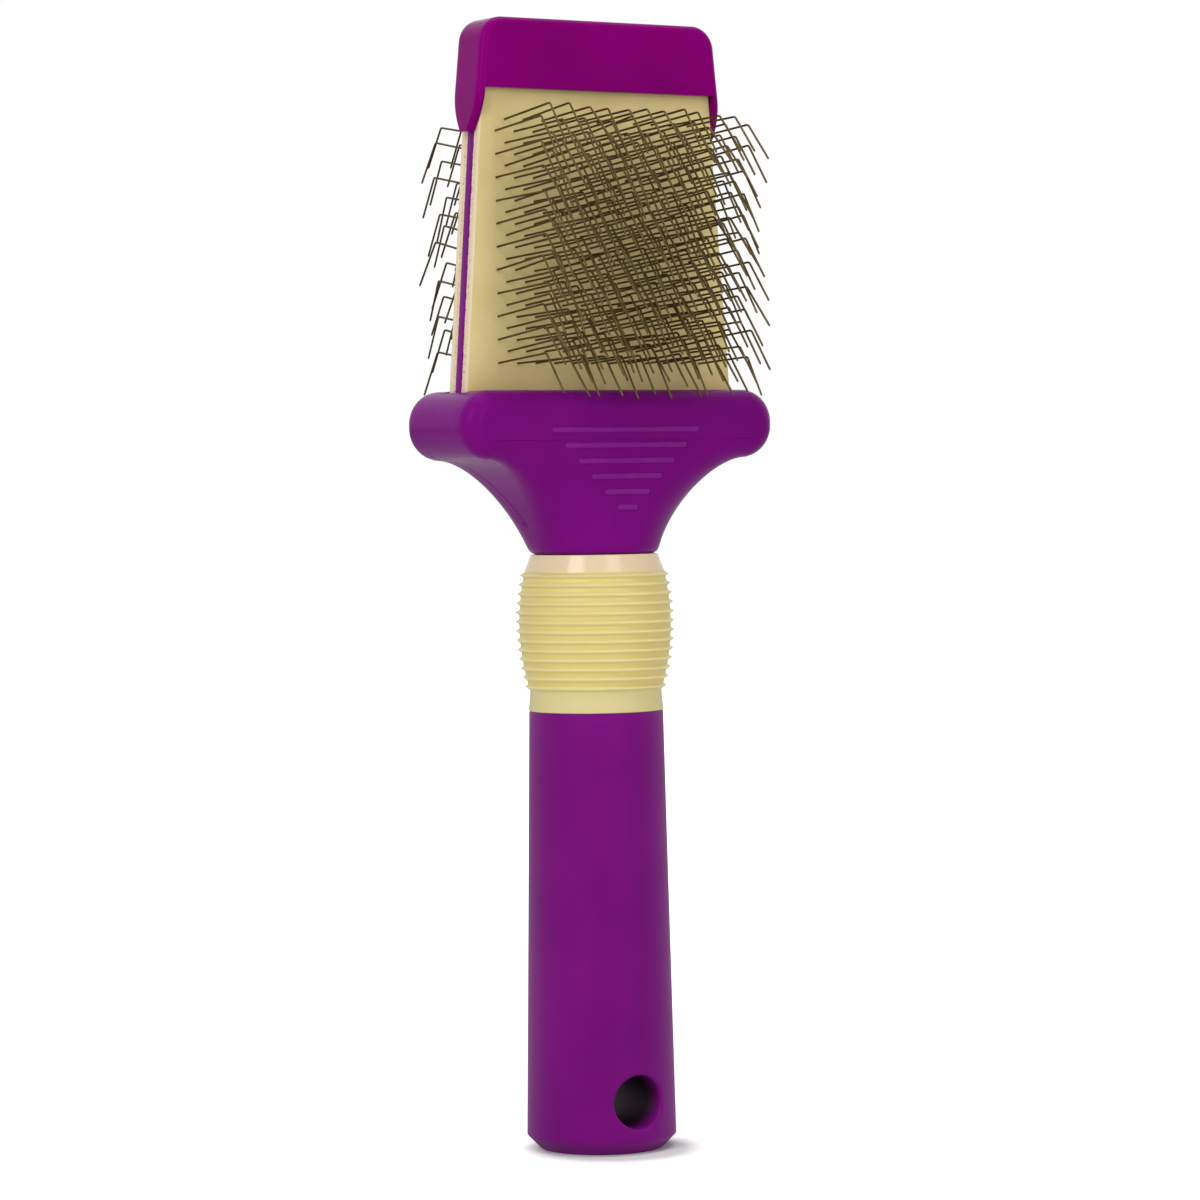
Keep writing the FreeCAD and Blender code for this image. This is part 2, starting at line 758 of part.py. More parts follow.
bay = new_sketch(head_cap, "XZ_Plane", "bay")
draw_polygon(
    bay,
    [
        ("bay_left_foot", "pad_foot"),
        ("bay_right_foot", "pad_foot"),
        ("bay_right_roof", "cap_roof"),
        ("bay_left_roof", "cap_roof"),
    ],
)
add_pocket(head_cap, bay, "2 * (places.stack_half + sizes.cap_fit)")

PIECES = [
    handle_tube,
    grip_sleeve,
    yoke_front,
    yoke_back,
    flex_plate,
    front_wires,
    front_pad,
    back_wires,
    back_pad,
    head_cap,
]
recompute()
os.makedirs("parts", exist_ok=True)
for piece in PIECES:
    shape = piece.Shape
    if shape.isNull() or not shape.isValid() or len(shape.Solids) != 1:
        raise RuntimeError(f"{piece.Label} is not one sound solid")
for piece in PIECES:
    piece.Shape.exportStep(f"parts/{piece.Label}.step")
    print(piece.Label, round(piece.Shape.Volume, 1))
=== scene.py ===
import math

import bmesh
import bpy
import numpy as np
from mathutils import Matrix, Vector


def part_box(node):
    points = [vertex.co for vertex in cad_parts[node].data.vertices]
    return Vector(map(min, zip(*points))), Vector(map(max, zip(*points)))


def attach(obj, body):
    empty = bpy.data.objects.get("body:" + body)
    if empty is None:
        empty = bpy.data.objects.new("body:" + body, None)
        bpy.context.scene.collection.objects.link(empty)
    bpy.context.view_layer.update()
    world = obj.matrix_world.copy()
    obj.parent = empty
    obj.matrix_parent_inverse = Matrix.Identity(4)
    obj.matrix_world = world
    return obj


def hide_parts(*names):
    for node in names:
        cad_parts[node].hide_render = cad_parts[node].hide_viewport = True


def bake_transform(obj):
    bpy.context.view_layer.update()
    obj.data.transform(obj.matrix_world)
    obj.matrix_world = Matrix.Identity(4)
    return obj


# A two-sided wire pin brush, standing on its handle. Metres. +Z runs up the handle to
# the head, -Y is the front and X runs across the head. Main sizes come from the frame.

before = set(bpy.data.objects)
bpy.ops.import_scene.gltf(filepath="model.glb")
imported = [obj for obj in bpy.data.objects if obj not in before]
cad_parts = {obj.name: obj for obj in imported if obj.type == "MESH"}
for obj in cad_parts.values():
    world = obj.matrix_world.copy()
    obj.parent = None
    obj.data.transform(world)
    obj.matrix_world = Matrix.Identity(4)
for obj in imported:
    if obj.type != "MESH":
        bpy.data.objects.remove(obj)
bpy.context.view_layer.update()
MM = 0.001
seeded = np.random.default_rng(7)


def low(node):
    return np.array(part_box(node)[0])


def high(node):
    return np.array(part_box(node)[1])


# Sizes read from the frame.
FOOT_RADIUS = high("handle_tube")[0]
HANDLE_TOP = high("handle_tube")[2]
NECK = high("grip_sleeve")[2]
BAR_RIGHT = high("yoke_back")[0]
BAR_TOP = high("yoke_back")[2]
YOKE_BACK = high("yoke_back")[1]
PLATE_HALF = high("flex_plate")[1]
PLATE_FOOT = low("flex_plate")[2]
HEAD_RIGHT = high("flex_plate")[0]
HEAD_TOP = high("flex_plate")[2]
CLOTH_OUTER = low("back_pad")[1]
STACK_HALF = high("back_pad")[1]
PAD_FOOT = low("back_pad")[2]
PIN_REACH = high("back_wires")[1]
CAP_RIGHT = high("head_cap")[0]
CAP_HALF = high("head_cap")[1]
CAP_TOP = high("head_cap")[2]
TAB_FOOT = low("head_cap")[2]

# Sizes that the frame's boxes don't give.
HANDLE_TOP_RADIUS = 12.25 * MM
FOOT_CHAMFER = 2.4 * MM
FOOT_EASE = 0.5 * MM
HOLE_RADIUS = 4.85 * MM
HOLE_HEIGHT = 9.5 * MM
HOLE_RIM = 0.75 * MM
HOLE_BORDER = 6.8 * MM
BAND_FOOT_RADIUS = 12.3 * MM
BAND_FOOT = 3.6 * MM
BAND_HEAD_RADIUS = 11.75 * MM
BAND_HEAD = 2.9 * MM
BARREL_RADIUS = 12.4 * MM
BARREL_BULGE = 1.45 * MM
BULGE_RISE = 16.0 * MM
BULGE_REACH = 11.0 * MM
RING_COUNT = 13
RING_HEIGHT = 0.78 * MM
RING_HALF_WIDTH = 0.5 * MM
STEM_RADIUS = 8.0 * MM
FLARE_HEIGHT = 17.3 * MM
FLARE_HALF_WIDTH = 27.8 * MM
FLARE_LEAN = 0.3
BAR_END_ROUND = 5.9 * MM
FRONT_EDGE_ROUND = 3.4 * MM
FRONT_ROUND_POWER = 1.6
BACK_EDGE_ROUND = 2.7 * MM
BACK_ROUND_POWER = 0.9
NECK_EDGE = 1.0 * MM
NECK_LEVEL_SHARE = 0.35
SEAM_DEPTH = 0.32 * MM
SEAM_HALF_WIDTH = 0.14 * MM
SEAM_INSET = 2.3 * MM
SEAM_START = 0.3
SEAM_FADE = 0.1
SEAM_COLUMNS = 60
RIB_COUNT = 6
RIB_PITCH = 2.8 * MM
RIB_DROP = 7.2 * MM
RIB_LONGEST = 31.2 * MM
RIB_STEP = 5.42 * MM
RIB_RADIUS = 0.5 * MM
RIB_RISE = 0.34 * MM
RIB_CREST = 0.12
HEAD_TAPER = 0.073
CAP_WALL = 1.55 * MM
CAP_FIT = 0.1 * MM
CAP_HEIGHT = 12.7 * MM
CAP_ROOF = 1.3 * MM
CAP_CORNER = 4.5 * MM
CAP_EDGE_ROUND = 1.25 * MM
TAB_HALF = 1.4 * MM
TAB_BOW = 1.9
TAB_THINNER_EDGE = 0.55
MOUTH_DEPTH = 3.4 * MM
MOUTH_GAP = 0.8 * MM
PIN_RADIUS = 0.2 * MM
PIN_BEND = 0.45 * MM
PIN_SPARE = 1.0 * MM
PIN_YAW_SPREAD = math.radians(1.5)
PIN_RISE_SPREAD = math.radians(1.3)
PIN_DROP_SPREAD = math.radians(3.0)
PIN_SWING_SPREAD = math.radians(4.0)
PIN_KNEE_SPREAD = 0.35 * MM
PIN_TIP_SPREAD = 0.3 * MM

# Each side's pins: rows, pins in its long and short rows, pitch across and up, a shift of
# every other row, the first row's height above the yoke, and where knee and tip lie.
PINS = {
    "front": {
        "rows": 22,
        "long": 12,
        "short": 11,
        "pitch": 3.9 * MM,
        "row_pitch": 2.075 * MM,
        "shift": 0.0,
        "first_row": 4.85 * MM,
        "knee_out": 16.3 * MM,
        "knee_rise": 1.2 * MM,
        "tip_out": 6.0 * MM,
        "tip_drop": 7.3 * MM,
    },
    "back": {
        "rows": 14,
        "long": 10,
        "short": 10,
        "pitch": 4.3 * MM,
        "row_pitch": 3.14 * MM,
        "shift": 0.75 * MM,
        "first_row": 5.0 * MM,
        "knee_out": 17.8 * MM,
        "knee_rise": 3.0 * MM,
        "tip_out": 4.5 * MM,
        "tip_drop": 7.7 * MM,
    },
}

# Points along half of a straight top.
TOP_STEPS = 24

# How white the floor looks by itself near the object, and how far the gap in that white
# under the foot, a painted contact shadow, is shifted to the front.
FLOOR_LIFT = 0.56
SHADOW_SHIFT = 4.5 * MM

WORLD_LIGHT = 0.42
WHITE = (1.0, 1.0, 1.0, 1.0)
FLOOR_GREY = (0.8, 0.8, 0.8, 1.0)

# The camera stands where the photograph was taken from.
CAMERA_AZIMUTH = math.radians(-31.862)
CAMERA_DISTANCE = 764.121 * MM
CAMERA_HEIGHT = 124.039 * MM
CAMERA_PAN = math.radians(0.073)
CAMERA_PITCH = math.radians(-1.794)
CAMERA_ROLL = math.radians(-0.771)
PHOTO_SIDE = 1200
FOCAL_PIXELS = 4183.388
SENSOR = 36.0


def turned(first, second, angle):
    """Two unit vectors turned by an angle in their own plane, the first towards the second."""
    return (
        first * math.cos(angle) + second * math.sin(angle),
        second * math.cos(angle) - first * math.sin(angle),
    )


def photo_camera():
    """The camera at the photograph's place: a level look at the handle's axis from the
    azimuth, then panned, pitched and rolled by the small angles above."""
    sine, cosine = math.sin(CAMERA_AZIMUTH), math.cos(CAMERA_AZIMUTH)
    place = Vector((CAMERA_DISTANCE * sine, -CAMERA_DISTANCE * cosine, CAMERA_HEIGHT))
    ahead, right, up = Vector((-sine, cosine, 0)), Vector((cosine, sine, 0)), Vector((0, 0, 1))
    ahead, right = turned(ahead, right, CAMERA_PAN)
    ahead, up = turned(ahead, up, CAMERA_PITCH)
    right, up = turned(right, up, CAMERA_ROLL)
    data = bpy.data.cameras.new("photo_camera")
    data.sensor_width = SENSOR
    data.lens = SENSOR * FOCAL_PIXELS / PHOTO_SIDE
    data.clip_start = 0.01
    camera = bpy.data.objects.new("photo_camera", data)
    turn = Matrix((right, up, -ahead)).transposed().to_4x4()
    camera.matrix_world = Matrix.Translation(place) @ turn
    bpy.context.scene.collection.objects.link(camera)
    bpy.context.scene.camera = camera


photo_camera()
bpy.context.scene.view_settings.view_transform = "Standard"


class Signal:
    """A value in a node tree. Arithmetic on signals adds Math nodes."""

    def __init__(self, tree, socket):
        self.tree = tree
        self.socket = socket

    def math(self, operation, *others):
        return self.tree.node("ShaderNodeMath", {"operation": operation}, [self, *others])

    def __add__(self, other):
        return self.math("ADD", other)

    __radd__ = __add__

    def __mul__(self, other):
        return self.math("MULTIPLY", other)

    __rmul__ = __mul__

    def __sub__(self, other):
        return self.math("SUBTRACT", other)

    def __rsub__(self, other):
        return (self * -1.0).math("ADD", other)

    def __truediv__(self, other):
        return self.math("DIVIDE", other)

    def __pow__(self, other):
        return self.math("POWER", other)

    def clamped(self):
        return self.math("MAXIMUM", 0.0).math("MINIMUM", 1.0)

    def over(self, start, end):
        """Rises from 0 to 1 as the signal goes from start to end."""
        return ((self - start) / (end - start)).clamped()

    def size(self):
        return self.math("ABSOLUTE")


class Tree:
    """A node tree whose nodes are added by expressions."""

    def __init__(self, tree, coordinate):
        self.nodes = tree.nodes
        self.links = tree.links
        self.place = self.node("ShaderNodeTexCoord", {}, [], coordinate)
        split = self.nodes.new("ShaderNodeSeparateXYZ")
        self.links.new(self.place.socket, split.inputs[0])
        self.x, self.y, self.z = (Signal(self, split.outputs[k]) for k in range(3))

    def node(self, kind, settings, inputs, output=0):
        """Adds a node. Settings are set first, then sockets by number or name."""
        node = self.nodes.new(kind)
        for name, value in settings.items():
            setattr(node, name, value)
        pairs = inputs.items() if isinstance(inputs, dict) else enumerate(inputs)
        for key, value in pairs:
            if isinstance(value, Signal):
                self.links.new(value.socket, node.inputs[key])
            else:
                node.inputs[key].default_value = value
        return Signal(self, node.outputs[output])

    def ray(self, kind):
        """One for rays of a kind, such as Is Camera Ray, and zero for others."""
        return self.node("ShaderNodeLightPath", {}, [], kind)


class Finish(Tree):
    """A material with one Principled shader."""

    def __init__(self, name, **constants):
        self.material = bpy.data.materials.new(name)
        self.material.use_nodes = True
        super().__init__(self.material.node_tree, "Object")
        self.shader = self.nodes["Principled BSDF"]
        for socket, value in constants.items():
            self.shader.inputs[socket.replace("_", " ")].default_value = value

    def noise(self, scale, detail=3.0, roughness=0.5, stretch=(1.0, 1.0, 1.0)):
        """Noise of a given scale per metre over the object, from about 0 to 1."""
        place = self.node("ShaderNodeMapping", {}, {"Vector": self.place, "Scale": stretch})
        return self.node(
            "ShaderNodeTexNoise",
            {},
            {"Vector": place, "Scale": scale, "Detail": detail, "Roughness": roughness},
            "Fac",
        )

    def mix(self, factor, first, second):
        """A colour between two colours."""
        node = self.nodes.new("ShaderNodeMix")
        node.data_type = "RGBA"
        colours = [s for s in node.inputs if s.type == "RGBA"]
        sockets = (node.inputs[0], colours[0], colours[1])
        for socket, value in zip(sockets, (factor, first, second)):
            if isinstance(value, Signal):
                self.links.new(value.socket, socket)
            else:
                socket.default_value = value
        return Signal(self, [s for s in node.outputs if s.type == "RGBA"][0])

    def feed(self, socket, signal):
        self.links.new(signal.socket, self.shader.inputs[socket])

    def bump(self, height, strength, distance):
        """Raises the surface by a height signal times a distance in metres."""
        normal = self.node(
            "ShaderNodeBump",
            {},
            {"Height": height, "Strength": strength, "Distance": distance},
            "Normal",
        )
        self.feed("Normal", normal)


def rgb(*screen):
    """A colour written as screen values from 0 to 255."""
    shares = [value / 255 for value in screen]
    linear = [((c + 0.055) / 1.055) ** 2.4 if c > 0.04 else c / 12.92 for c in shares]
    return (*linear, 1.0)


def purple_plastic(name, tones, gloss, shine, hole=False):
    """Satin moulded plastic: faint cloudy tone, fine grain and a slightly uneven gloss.
    Its reflections take on the plastic's own colour. With hole, the hang hole's bore
    is painted darker than the rest: painted shade in the recess."""
    finish = Finish(
        name, IOR=1.46, Specular_IOR_Level=shine, Specular_Tint=(1.0, 0.18, 0.88, 1.0)
    )
    cloud = finish.noise(60.0, 2.0)
    base = finish.mix(cloud.over(0.3, 0.7), *tones)
    if hole:
        # Painted shade: the hole's bore is darkened, most away from its two mouths.
        reach = (finish.x ** 2.0 + (finish.z - HOLE_HEIGHT) ** 2.0) ** 0.5
        inside = 1.0 - reach.over(HOLE_RADIUS, HOLE_RADIUS + 0.3 * MM)
        deep = 1.0 - finish.y.size().over(8.0 * MM, 12.0 * MM)
        base = finish.mix(inside * deep, base, rgb(40, 2, 34))
    finish.feed("Base Color", base)
    grain = finish.noise(5200.0, 2.0)
    smear = finish.noise(140.0, 3.0, stretch=(1.0, 1.0, 0.35))
    finish.feed("Roughness", gloss + 0.1 * smear + 0.05 * grain)
    finish.bump(grain + 0.6 * finish.noise(900.0, 2.0), 0.3, 0.015 * MM)
    return finish.material


def cream_grip():
    """Soft satin plastic, painted darker and more yellow in the valleys between the rings
    as painted shade and paler on their crests as a painted highlight; smoother, paler
    and pinker on the bands."""
    finish = Finish("cream_grip", IOR=1.48, Subsurface_Weight=0.12, Subsurface_Scale=0.004)
    finish.shader.inputs["Subsurface Radius"].default_value = (1.0, 0.75, 0.35)
    ribs_foot = HANDLE_TOP + BAND_FOOT
    ribs_head = NECK - BAND_HEAD
    reach = (finish.x ** 2.0 + finish.y ** 2.0) ** 0.5
    fall = (finish.z - (HANDLE_TOP + BULGE_RISE)) / BULGE_REACH
    barrel = BARREL_RADIUS + BARREL_BULGE * (1.0 - fall * fall)
    # Painted light: the rings' colour runs from a painted shade in the valleys to a painted
    # highlight on the crests.
    crest = (reach - barrel).over(0.0, RING_HEIGHT)
    above_foot = finish.z.over(ribs_foot, ribs_foot + 0.3 * MM)
    below_head = 1.0 - finish.z.over(ribs_head - 0.3 * MM, ribs_head)
    ringed = above_foot * below_head
    rings = finish.mix(crest, rgb(224, 206, 130), rgb(240, 229, 174))
    high_band = finish.z.over(ribs_foot, ribs_head)
    bands = finish.mix(high_band, rgb(222, 208, 148), rgb(230, 206, 170))
    cloud = finish.noise(120.0, 2.0)
    base = finish.mix(ringed, bands, rings)
    base = finish.mix(0.14 * cloud, base, rgb(214, 186, 122))
    finish.feed("Base Color", base)
    finish.feed("Roughness", 0.13 + 0.25 * ringed + 0.06 * cloud)
    finish.bump(finish.noise(4200.0, 2.0), 0.25, 0.012 * MM)
    return finish.material


def cream_rubber():
    """Matt foam rubber sheet: fine pores, a faint cloudy tone, and cut sides painted paler and
    pinker, a painted highlight along them.
    """
    finish = Finish("cream_rubber", IOR=1.4, Subsurface_Weight=0.1, Subsurface_Scale=0.002)
    # Painted highlight: the cut sides are painted paler and pinker than the face.
    inner = HEAD_RIGHT - HEAD_TAPER * (finish.z - BAR_TOP)
    edge = (finish.x.size() - inner).over(-0.3 * MM, -0.05 * MM)
    pores = finish.noise(2600.0, 3.0, 0.6)
    cloud = finish.noise(90.0, 3.0)
    base = finish.mix(cloud.over(0.25, 0.75), rgb(220, 198, 134), rgb(230, 210, 150))
    base = finish.mix(pores.over(0.55, 0.8) * 0.35, base, rgb(192, 168, 108))
    base = finish.mix(edge * 0.7, base, rgb(240, 216, 196))
    finish.feed("Base Color", base)
    finish.feed("Roughness", 0.58 + 0.2 * pores)
    finish.bump(pores, 0.5, 0.05 * MM)
    return finish.material


def pad_cloth():
    """Rough woven foundation seen at its cut edge: pinkish with dark flecks."""
    finish = Finish("pad_cloth", IOR=1.4, Sheen_Weight=0.25, Sheen_Roughness=0.5)
    flecks = finish.noise(2100.0, 2.0, 0.7)
    threads = finish.noise(900.0, 2.0, 0.6, stretch=(1.0, 1.0, 3.0))
    base = finish.mix(threads.over(0.3, 0.7), rgb(222, 200, 168), rgb(236, 218, 184))
    base = finish.mix(flecks.over(0.56, 0.66), base, rgb(176, 144, 138))
    finish.feed("Base Color", base)
    finish.feed("Roughness", 0.8 + 0.15 * threads)
    finish.bump(threads + flecks, 0.8, 0.12 * MM)
    return finish.material


def pin_steel():
    """Drawn steel wire, dulled, with a faint drawn grain. Its brown is partly the wire's own dull
    tone and partly a painted reflection of the cream pad.
    """
    finish = Finish("pin_steel", Metallic=1.0)
    stain = finish.noise(260.0, 2.0)
    grain = finish.noise(1500.0, 2.0, stretch=(3.0, 0.4, 3.0))
    # Partly painted reflection: the brown base stands in part for the cream pad that the wires
    # reflect.
    base = finish.mix(stain.over(0.3, 0.7), rgb(76, 63, 37), rgb(100, 85, 52))
    finish.feed("Base Color", base)
    finish.feed("Roughness", 0.38 + 0.12 * grain + 0.1 * stain)
    return finish.material


class Shell:
    """Collects grids and outlines of points into one mesh."""

    def __init__(self):
        self.points = []
        self.faces = []
        self.count = 0

    def grid(self, points, closed=False, keep=None):
        """Adds an array of rows and columns of points. A closed grid joins its last
        column to its first. Keep is a mask over its quads."""
        rows, columns = points.shape[:2]
        i = np.arange(rows - 1)[:, None]
        j = np.arange(columns if closed else columns - 1)[None, :]
        k = (j + 1) % columns
        quads = np.stack(
            [i * columns + j, i * columns + k, (i + 1) * columns + k, (i + 1) * columns + j], -1
        )
        if keep is not None:
            quads = quads[keep]
        self.faces += (quads.reshape(-1, 4) + self.count).tolist()
        self.points.append(points.reshape(-1, 3))
        self.count += rows * columns
        return self

    def lid(self, ring):
        """Adds one flat face inside a ring of points."""
        self.faces.append((np.arange(len(ring)) + self.count).tolist())
        self.points.append(ring)
        self.count += len(ring)
        return self

    def piece(self, name, finish, sharp=35.0):
        """Makes the object, with its doubles merged and its faces pointing out."""
        mesh = bpy.data.meshes.new(name)
        mesh.from_pydata(np.concatenate(self.points).tolist(), [], self.faces)
        form = bmesh.new()
        form.from_mesh(mesh)
        bmesh.ops.remove_doubles(form, verts=form.verts, dist=1e-6)
        bmesh.ops.dissolve_degenerate(form, edges=form.edges, dist=1e-7)
        bmesh.ops.recalc_face_normals(form, faces=form.faces)
        form.to_mesh(mesh)
        form.free()
        item = bpy.data.objects.new(name, mesh)
        bpy.context.scene.collection.objects.link(item)
        if finish is not None:
            mesh.materials.append(finish)
        smooth(item, sharp)
        return item


def smooth(item, sharp):
    """Smooth shading, with edges sharper than an angle kept crisp."""
    item.data.shade_smooth()
    item.data.set_sharp_from_angle(angle=math.radians(sharp))


def settle(item, sharp=35.0):
    """Puts the result of an object's modifiers into its mesh."""
    bpy.context.view_layer.update()
    graph = bpy.context.evaluated_depsgraph_get()
    mesh = bpy.data.meshes.new_from_object(item.evaluated_get(graph))
    item.modifiers.clear()
    item.data = mesh
    smooth(item, sharp)
    return item


def cut(item, tool):
    """Takes a closed tool shape out of an object."""
    modifier = item.modifiers.new("cut", "BOOLEAN")
    modifier.operation = "DIFFERENCE"
    modifier.solver = "EXACT"
    modifier.object = tool
    settle(item)
    bpy.data.objects.remove(tool)
    return item


def bevelled(item, width, segments=2, angle=40.0, sharp=35.0):
    """Rounds an object's crisp edges by a small width."""
    modifier = item.modifiers.new("ease", "BEVEL")
    modifier.width = width
    modifier.segments = segments
    modifier.limit_method = "ANGLE"
    modifier.angle_limit = math.radians(angle)
    modifier.harden_normals = False
    return settle(item, sharp)


def arc(centre, radius, start, end, count):
    """Points of a circle's arc from a start to an end angle in degrees."""
    turn = np.radians(np.linspace(start, end, count))
    return np.stack([centre[0] + radius * np.cos(turn), centre[1] + radius * np.sin(turn)], -1)


def line(start, end, count):
    """Points evenly along a straight line."""
    return np.linspace(start, end, count)


def revolved(profile, columns):
    """Turns a profile of (radius, height) about Z, from the front round to the right."""
    turn = 2 * np.pi * np.arange(columns) / columns
    radius, height = profile[:, 0:1], profile[:, 1:2]
    return np.stack(
        [radius * np.sin(turn), -radius * np.cos(turn), height + 0 * turn], -1
    )


def tube_radius(height):
    """The handle narrows evenly from its foot to its top."""
    return FOOT_RADIUS + (HANDLE_TOP_RADIUS - FOOT_RADIUS) * height / HANDLE_TOP


def handle_profile(block):
    """The tube's outline as (radius, height): the flat foot, its chamfer with eased
    edges, the wall with given heights round the hole, and the eased top."""
    edge = 0.3 * MM
    radius = tube_radius(FOOT_CHAMFER)
    slant = FOOT_EASE * math.tan(math.pi / 8)
    low_turn = (radius - FOOT_CHAMFER - slant, FOOT_EASE)
    high_turn = (radius - FOOT_EASE, FOOT_CHAMFER + slant)
    low_edge = arc(low_turn, FOOT_EASE, -90, -45, 5)
    high_edge = arc(high_turn, FOOT_EASE, -45, 0, 5)
    foot = np.concatenate([low_edge, high_edge])
    shaft = np.linspace(block[-1], HANDLE_TOP - edge, 40)[1:]
    heights = np.concatenate([block, shaft])
    wall = np.stack([tube_radius(heights), heights], -1)
    top = arc((HANDLE_TOP_RADIUS - edge, HANDLE_TOP - edge), edge, 0, 90, 5)[1:]
    profile = np.concatenate([[[0.0, 0.0]], foot, wall, top, [[0.0, HANDLE_TOP]]])
    return profile, 1 + len(foot)


def hole_rings(across, height):
    """Rings of points from a border on the tube in to the hang hole: straight lines to
    the hole's rim, a quarter-round lip, and the bore down to the middle."""
    aim = np.arctan2(height - HOLE_HEIGHT, across)
    rings = []

    def ring(x, z, depth):
        surface = np.sqrt(tube_radius(z) ** 2 - x ** 2)
        rings.append(np.stack([x, -(surface - depth), z], -1))

    lip = HOLE_RADIUS + HOLE_RIM
    rim_x, rim_z = lip * np.cos(aim), HOLE_HEIGHT + lip * np.sin(aim)
    for share in np.linspace(0, 1, 6):
        ring(across + (rim_x - across) * share, height + (rim_z - height) * share, 0.0)
    for bend in np.radians(np.linspace(0, 90, 9))[1:]:
        reach = HOLE_RADIUS + HOLE_RIM * (1 - math.sin(bend))
        sunk = HOLE_RIM * (1 - math.cos(bend))
        ring(reach * np.cos(aim), HOLE_HEIGHT + reach * np.sin(aim), sunk)
    bore_x, bore_z = HOLE_RADIUS * np.cos(aim), HOLE_HEIGHT + HOLE_RADIUS * np.sin(aim)
    wall_y = rings[-1][:, 1]
    for share in np.linspace(0, 1, 6)[1:]:
        rings.append(np.stack([bore_x, wall_y * (1 - share), bore_z], -1))
    return np.stack(rings)


def handle_tube(finish):
    """A turned tube whose quads are left out round the hang hole, front and back, and a
    patch of rings that fills each gap."""
    columns = 192
    half_span = 16
    border_low = HOLE_HEIGHT - HOLE_BORDER
    border_high = HOLE_HEIGHT + HOLE_BORDER
    block = np.linspace(border_low, border_high, 29)
    profile, first = handle_profile(block)
    keep = np.ones((len(profile) - 1, columns), bool)
    rows = slice(first, first + len(block) - 1)
    for middle in (0, columns // 2):
        gone = np.arange(middle - half_span, middle + half_span) % columns
        keep[rows, gone] = False
    shell = Shell().grid(revolved(profile, columns), closed=True, keep=keep)
    turn = 2 * np.pi * np.arange(-half_span, half_span + 1) / columns
    sides = [
        (turn, border_low + 0 * turn),
        (turn[-1] + 0 * block[1:], block[1:]),
        (turn[-2::-1], border_high + 0 * turn[1:]),
        (turn[0] + 0 * block[-2:0:-1], block[-2:0:-1]),
    ]
    around = np.concatenate([s[0] for s in sides])
    height = np.concatenate([s[1] for s in sides])
    patch = hole_rings(tube_radius(height) * np.sin(around), height)
    shell.grid(patch, closed=True)
    shell.grid(patch * (-1, -1, 1), closed=True)
    return shell.piece("handle_shell", finish)


def barrel_radius(height):
    """The barrel falls off as a parabola from its fullest height."""
    fall = (height - HANDLE_TOP - BULGE_RISE) / BULGE_REACH
    return BARREL_RADIUS + BARREL_BULGE * (1 - fall ** 2)


def grip_sleeve(finish):
    """A turned sleeve. Each ring's height falls from its crest as a rounded tent:
    height times (1 - |distance| / half width) to a power, never below the barrel."""
    edge = 0.25 * MM
    ribs_foot = HANDLE_TOP + BAND_FOOT
    ribs_head = NECK - BAND_HEAD
    pitch = (ribs_head - ribs_foot) / RING_COUNT
    per_ring = 18
    heights = np.linspace(ribs_foot, ribs_head, RING_COUNT * per_ring + 1)
    phase = np.mod(heights - ribs_foot, pitch) - pitch / 2
    tent = np.clip(1 - np.abs(phase) / RING_HALF_WIDTH, 0, 1)
    crest = RING_HEIGHT * (tent ** 1.1) * (1.0 - 0.1 * tent ** 4)
    barrel = np.stack([barrel_radius(heights) + crest, heights], -1)
    bottom = arc((BAND_FOOT_RADIUS - edge, HANDLE_TOP + edge), edge, -90, 0, 6)
    top = arc((BAND_HEAD_RADIUS - edge, NECK - edge), edge, 0, 90, 6)
    inner = STEM_RADIUS + 0.1 * MM
    profile = np.concatenate(
        [[[inner, HANDLE_TOP]], bottom, barrel, top, [[inner, NECK], [inner, HANDLE_TOP]]]
    )
    return Shell().grid(revolved(profile, 192), closed=True).piece("grip_shell", finish, 50.0)


def flare_half_width(share):
    """The yoke's half width at a share of the flare's height: a straight lean plus a
    quarter ellipse."""
    sweep = FLARE_LEAN * share + (1 - FLARE_LEAN) * (1 - np.sqrt(1 - share ** 2))
    return YOKE_BACK + (FLARE_HALF_WIDTH - YOKE_BACK) * sweep


def yoke_outline(edge, power):
    """The right half of the T in X and Z, from the neck up to the middle of its top,
    with the edge rounding and the half depth at each point. The rounding falls from the
    neck's full circle by a power of the height, and the neck's own edge rounds in by a
    quarter circle."""
    share = np.sin(np.linspace(0, np.pi / 2, 56)) ** 1.3
    short = np.clip(1 - FLARE_HEIGHT * share / NECK_EDGE, 0, 1)
    drawn_in = NECK_EDGE * (1 - np.sqrt(1 - short ** 2))
    flare = np.stack([flare_half_width(share) - drawn_in, NECK + FLARE_HEIGHT * share], -1)
    bar_foot = NECK + FLARE_HEIGHT
    side = BAR_RIGHT - BAR_END_ROUND
    meet = math.degrees(math.asin((FLARE_HALF_WIDTH - side) / BAR_END_ROUND)) - 90
    lower = arc((side, bar_foot + BAR_END_ROUND), BAR_END_ROUND, meet, 0, 16)[1:]
    upper = arc((side, BAR_TOP - BAR_END_ROUND), BAR_END_ROUND, 0, 90, 16)
    top = line((side, BAR_TOP), (0.0, BAR_TOP), TOP_STEPS)[1:]
    outline = np.concatenate([flare, lower, upper, top])
    rest = len(outline) - len(share)
    depth = np.concatenate([YOKE_BACK - drawn_in, np.full(rest, YOKE_BACK)])
    fade = np.concatenate([1 - share ** power, np.zeros(rest)])
    rounding = edge + (depth - edge) * fade
    return outline, rounding, depth


def inward(outline):
    """Unit normals of an outline in X and Z that point to its left as it runs."""
    run = np.gradient(outline, axis=0)
    normal = np.stack([-run[:, 1], run[:, 0]], -1)
    return normal / np.linalg.norm(normal, axis=1, keepdims=True)


